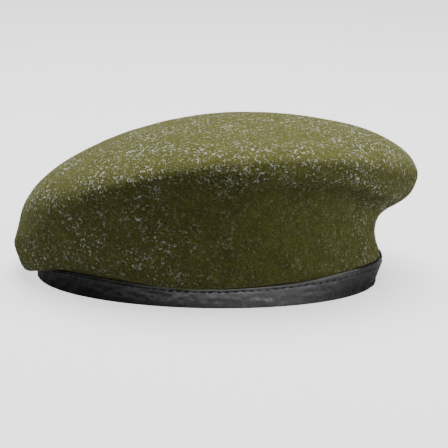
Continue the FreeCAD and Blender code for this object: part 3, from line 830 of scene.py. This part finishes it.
def lining_shape(turns, stations):
    """The lining's plain shape, rounded on the whole meridian so that both panels meet."""
    whole = np.linspace(0, LINING_LAST, LINING_LAST * LINING_ROWS_PER_STATION + 1)
    plain = surface(turns, whole, LINING_RINGS, *LINING_SHIFTS)
    rows = round_rim(plain, turns, whole, *LINING_RIM)
    at = np.asarray(stations) * LINING_ROWS_PER_STATION
    low = np.minimum(at.astype(int), len(whole) - 2)
    share = (at - low)[:, None, None]
    return rows[low] * (1 - share) + rows[low + 1] * share


def side_lining(satin):
    """The panel round the side: slack between the leather and the seam, puckered at the seam."""
    turns = all_round(320)
    stations = np.linspace(0, SEAM_STATION + SEAM_LAP, 56)
    plain = clear_of_felt(lining_shape(turns, stations), stations)
    normal = normals_of(plain)
    free = np.clip((stations - 1.9) / 1.4, 0, 1) * np.clip((SEAM_STATION - stations) / 0.9, 0, 1)
    slack = (np.abs(ripples(plain, 22, 31, stretch=(1, 1, 4))) * 1.3
             + ripples(plain, 9, 32, stretch=(1, 1, 3)) * 0.35)
    pucker = hump(stations, SEAM_STATION - 0.3, 0.35)[:, None] * 0.35 * np.cos(turns * SEAM_PUCKERS)
    tab = turn_window(turns, *TAB_TURNS, 4)[None] * hump(stations, 2.9, 1.0)[:, None]
    push = slack * free[:, None] * (1 - tab) + np.maximum(pucker, 0)
    side = double_skin("side_lining", plain - normal * push[..., None], normal, LINING, satin, False)
    place(side, ["lining_side_panel"])


def crown_lining(satin):
    """The panel under the crown, lapped inside the side panel; lies flatter under the label."""
    turns = all_round(320)
    stations = np.linspace(SEAM_STATION, LINING_LAST, 64)
    plain = clear_of_felt(lining_shape(turns, stations), stations)
    normal = normals_of(plain)
    free = (np.clip((stations - SEAM_STATION - 0.5) / 1.5, 0, 1)
            * np.clip((LINING_LAST - stations) / 2.0, 0, 1))
    slack = np.abs(ripples(plain, 38, 33)) * 1.5 + np.maximum(ripples(plain, 14, 34), 0) * 0.4
    pucker = hump(stations, SEAM_STATION + 0.7, 0.5)[:, None] * 0.5 * np.cos(turns * SEAM_PUCKERS)
    label = hump(plain[..., 0], LABEL_CENTRE[0], 34) * hump(plain[..., 1], LABEL_CENTRE[1], 24)
    push = LINING + LAYER_GAP + slack * free[:, None] * (1 - label) + np.maximum(pucker, 0)
    crown = double_skin("crown_lining", plain - normal * push[..., None], normal, LINING, satin, True)
    place(crown, ["lining_crown_panel"])
    return crown


def lining_stitches(thread):
    """Stitches along the lap of the two panels."""
    turns = np.linspace(0.01, 2 * math.pi - 0.01, 900)
    station = SEAM_STATION + 0.15
    stations = station + np.array([-0.05, 0.0, 0.05])
    rows = clear_of_felt(lining_shape(turns, stations), stations)
    normal = normals_of(rows)[1]
    path = rows[1] - normal * (2 * LINING + LAYER_GAP - 0.05)
    points, along = even_points(path, STITCH_PITCH, STITCH_MARGIN)
    nearest = [int(np.argmin(((path - point) ** 2).sum(1))) for point in points]
    place(stitch_row("lining_stitching", points, along, -normal[nearest], thread, radius=0.24,
                     seed=8), ["lining_seam_stitches"])


# ---- the rest ------------------------------------------------------------------------------
def cord_tube(builder, path, radius, strands=3, lay=6.0, sides=12):
    """A laid cord along a path: its strands wind round it and stand proud of its radius."""
    length = arc_length(path)
    ahead = np.gradient(path, axis=0)
    ahead /= np.linalg.norm(ahead, axis=1, keepdims=True)
    across = np.cross(ahead, [0.02, 0.03, 1.0])
    across /= np.linalg.norm(across, axis=1, keepdims=True)
    over = np.cross(across, ahead)
    rows = []
    for angle in all_round(sides):
        size = radius * (0.90 + 0.10 * np.cos(strands * angle - 2 * math.pi * length / lay))
        rows.append(path + (across * math.cos(angle) + over * math.sin(angle)) * size[:, None])
    rings = np.array(rows).transpose(1, 0, 2)
    tips = [rings[0] * 0 + path[0], rings[-1] * 0 + path[-1]]
    builder.add(np.concatenate([tips[:1], rings, tips[1:]]))


def drawstring(material):
    """The cord in the binding's channel, its ends out through the slot and knotted together."""
    half_gap = CORD_RADIUS + CORD_PARTING
    side = half_gap + CORD_BEND
    turn = math.asin(side / (BAND_HALF_WIDTH + CORD_OFFSET))
    turns = np.linspace(turn, 2 * math.pi - turn, 1100)
    route = band_point(turns, CORD_OFFSET + 0 * turns, CORD_HEIGHT)
    bend_x = route[0, 0] - CORD_BEND
    knot_x = bend_x - KNOT_REACH
    lead = [(x, half_gap, CORD_HEIGHT) for x in np.linspace(knot_x, bend_x, 12)]
    for angle in np.linspace(0, math.pi / 2, 8)[1:-1]:
        lead.append((bend_x + CORD_BEND * math.sin(angle), side - CORD_BEND * math.cos(angle),
                     CORD_HEIGHT))
    lead = np.array(lead)
    builder = Builder()
    cord_tube(builder, np.concatenate([lead, route, lead[::-1] * [1, -1, 1]]), CORD_RADIUS)
    loop = np.linspace(0, 2 * math.pi, 121)
    centre = np.array([knot_x, 0, CORD_HEIGHT + KNOT_LIFT])
    knot = centre + np.stack([-0.85 * np.sin(3 * loop), 0.62 * (np.sin(loop) + 2 * np.sin(2 * loop)),
                              0.62 * (np.cos(loop) - 2 * np.cos(2 * loop))], -1)
    cord_tube(builder, knot, CORD_RADIUS * 0.9)
    place(builder.make("knotted_cord", material), ["drawstring"])


def patch(name, upper, lower, material):
    """A closed four-sided piece of ribbon between two grids of points."""
    builder = Builder()
    builder.add(upper, closed=False)
    builder.add(lower, closed=False, flip=True)
    for edge in (0, -1):
        builder.add([upper[edge], lower[edge]], closed=False)
        builder.add([upper[:, edge], lower[:, edge]], closed=False)
    return builder.make(name, material)


def crown_label(ribbon, thread, crown):
    """A blank label under the crown, sewn along its long edges, with its corners curling."""
    tree = BVHTree.FromObject(crown, bpy.context.evaluated_depsgraph_get())
    xs = LABEL_CENTRE[0] + LABEL_SIZE[0] * np.linspace(-0.5, 0.5, 56)
    ys = LABEL_CENTRE[1] + LABEL_SIZE[1] * np.linspace(-0.5, 0.5, 32)
    upper = np.empty((len(ys), len(xs), 3))
    for j, y in enumerate(ys):
        for i, x in enumerate(xs):
            hit = tree.ray_cast(Vector((x, y, 60.0)) * MM, Vector((0, 0, 1)))[0]
            upper[j, i] = (x, y, hit.z / MM)
    u = np.abs(np.linspace(-1, 1, len(xs)))[None, :]
    v = np.abs(np.linspace(-1, 1, len(ys)))[:, None]
    upper[..., 2] -= LABEL_AIR + 0.9 * u ** 6 * (1 - 0.5 * v) + 0.12 * ripples(upper, 9, 41)
    lower = upper - [0, 0, LABEL]
    place(patch("blank_label", upper, lower, ribbon), ["crown_label"])
    paths = []
    for row in (0, -1):
        path = lower[row] + [0, LABEL_HEM * (1 if row == 0 else -1), -0.02]
        paths.append(even_points(path, STITCH_PITCH, 3.0))
    points = np.concatenate([path[0] for path in paths])
    along = np.concatenate([path[1] for path in paths])
    down = np.tile([0.0, 0.0, -1.0], (len(points), 1))
    place(stitch_row("label_stitching", points, along, down, thread, radius=0.22, seed=9),
          ["crown_label_stitches"])


def size_tab(ribbon):
    """A blank tab on the lining, left of the back joint."""
    turns = all_round(720)
    stations = np.linspace(*TAB_STATIONS, 14)
    plain = surface(turns, stations, LINING_RINGS, *LINING_SHIFTS)
    normal = normals_of(plain)
    per_degree = len(turns) // 360
    columns = slice(per_degree * TAB_TURNS[0], per_degree * TAB_TURNS[1] + 1)
    lift = (LINING + LAYER_GAP + 0.5 * np.linspace(0, 1, len(stations)) ** 3)[:, None, None]
    upper = (plain - normal * lift)[:, columns]
    place(patch("blank_tab", upper, upper - normal[:, columns] * LABEL, ribbon), ["size_tab"])


def paint(node, material):
    """Gives a CAD node a finished material; its shape stays."""
    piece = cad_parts[node]
    piece.data.materials.clear()
    piece.data.materials.append(material)


def pale_floor_material():
    """Pale from above and in reflections, throws little light back up, and clear from below."""
    n = Nodes("pale_floor")
    tone = n.mix(n.noise(0.3), rgb(0.90, 0.90, 0.90), rgb(0.92, 0.92, 0.92))
    ray = n.node("ShaderNodeLightPath")
    glow = n.math("MULTIPLY", ray.outputs["Is Camera Ray"], 1.2)
    below = n.math("MAXIMUM", n.node("ShaderNodeNewGeometry").outputs["Backfacing"],
                   ray.outputs["Is Shadow Ray"])
    return n.finish(Base_Color=n.mix(ray.outputs["Is Diffuse Ray"], tone, rgb(0.16, 0.16, 0.16)),
                    Roughness=0.9, Specular_IOR_Level=0.1, Emission_Color=rgb(1, 1, 1),
                    Emission_Strength=glow, Alpha=n.math("SUBTRACT", 1.0, below))


def studio():
    """Pale floor, a broad overhead light and weaker ones, and a world that looks pale."""
    floor_material = pale_floor_material()
    mesh = bpy.data.meshes.new("floor")
    half = 12.0
    mesh.from_pydata([(-half, -half, 0), (half, -half, 0), (half, half, 0), (-half, half, 0)], [],
                     [(0, 1, 2, 3)])
    mesh.materials.append(floor_material)
    floor = bpy.data.objects.new("floor", mesh)
    bpy.context.scene.collection.objects.link(floor)
    for light in LIGHTS:
        add_light(*light)
    world = bpy.data.worlds.new("studio")
    world.use_nodes = True
    tree = world.node_tree
    seen = tree.nodes.new("ShaderNodeMapRange")
    seen.inputs["To Min"].default_value = 0.10
    seen.inputs["To Max"].default_value = 0.85
    ray = tree.nodes.new("ShaderNodeLightPath")
    tree.links.new(ray.outputs["Is Camera Ray"], seen.inputs["Value"])
    tree.nodes["Background"].inputs["Color"].default_value = (1, 1, 1, 1)
    tree.links.new(seen.outputs["Result"], tree.nodes["Background"].inputs["Strength"])
    bpy.context.scene.world = world


def add_light(name, place_at, target, size, power):
    data = bpy.data.lights.new(name, "AREA")
    data.shape = "DISK"
    data.size = size
    data.energy = power
    light = bpy.data.objects.new(name, data)
    light.location = place_at
    aim = Vector(target) - Vector(place_at)
    light.rotation_euler = aim.to_track_quat("-Z", "Y").to_euler()
    bpy.context.scene.collection.objects.link(light)


def camera():
    """Side view of the wearer's left, a little from above, with a slight roll."""
    elevation = math.radians(14.0)
    roll = math.radians(1.1)
    distance = 1.1
    target = Vector((0.005, 0.0, 0.045))
    data = bpy.data.cameras.new("camera")
    data.sensor_width = 36.0
    data.lens = 142.6
    data.shift_x = 8 / 448
    data.shift_y = -17 / 448
    data.clip_end = 20
    view = bpy.data.objects.new("camera", data)
    back = Vector((0, -math.cos(elevation), math.sin(elevation)))
    turned = (-back).to_track_quat("-Z", "Y").to_matrix().to_4x4() @ Matrix.Rotation(roll, 4, "Z")
    view.matrix_world = Matrix.Translation(target + back * distance) @ turned
    bpy.context.scene.collection.objects.link(view)
    bpy.context.scene.camera = view


def build():
    """Every piece of the beret, with its material."""
    felt = felt_material()
    leather = leather_material()
    thread = thread_material("black_thread", rgb(0.02, 0.02, 0.02), rgb(0.07, 0.07, 0.07))
    satin = satin_material("black_satin", rgb(0.010, 0.010, 0.011), rgb(0.022, 0.022, 0.024), 0.34)
    label = satin_material("label_ribbon", rgb(0.55, 0.53, 0.47), rgb(0.66, 0.64, 0.58), 0.42)
    label_thread = thread_material("label_thread", rgb(0.42, 0.40, 0.36), rgb(0.62, 0.60, 0.55))
    enamel = enamel_material()
    place(felt_body(felt), ["felt_crown"])
    place(leather_binding(leather), ["leather_binding"])
    binding_stitches(thread)
    side_lining(satin)
    crown = crown_lining(satin)
    lining_stitches(thread)
    crown_label(label, label_thread, crown)
    size_tab(label)
    drawstring(cord_material())
    paint("badge_stiffener", board_material())
    for end in ("front", "rear"):
        paint("vent_eyelet_" + end, enamel)
        paint("vent_washer_" + end, enamel)


camera()
studio()
build()
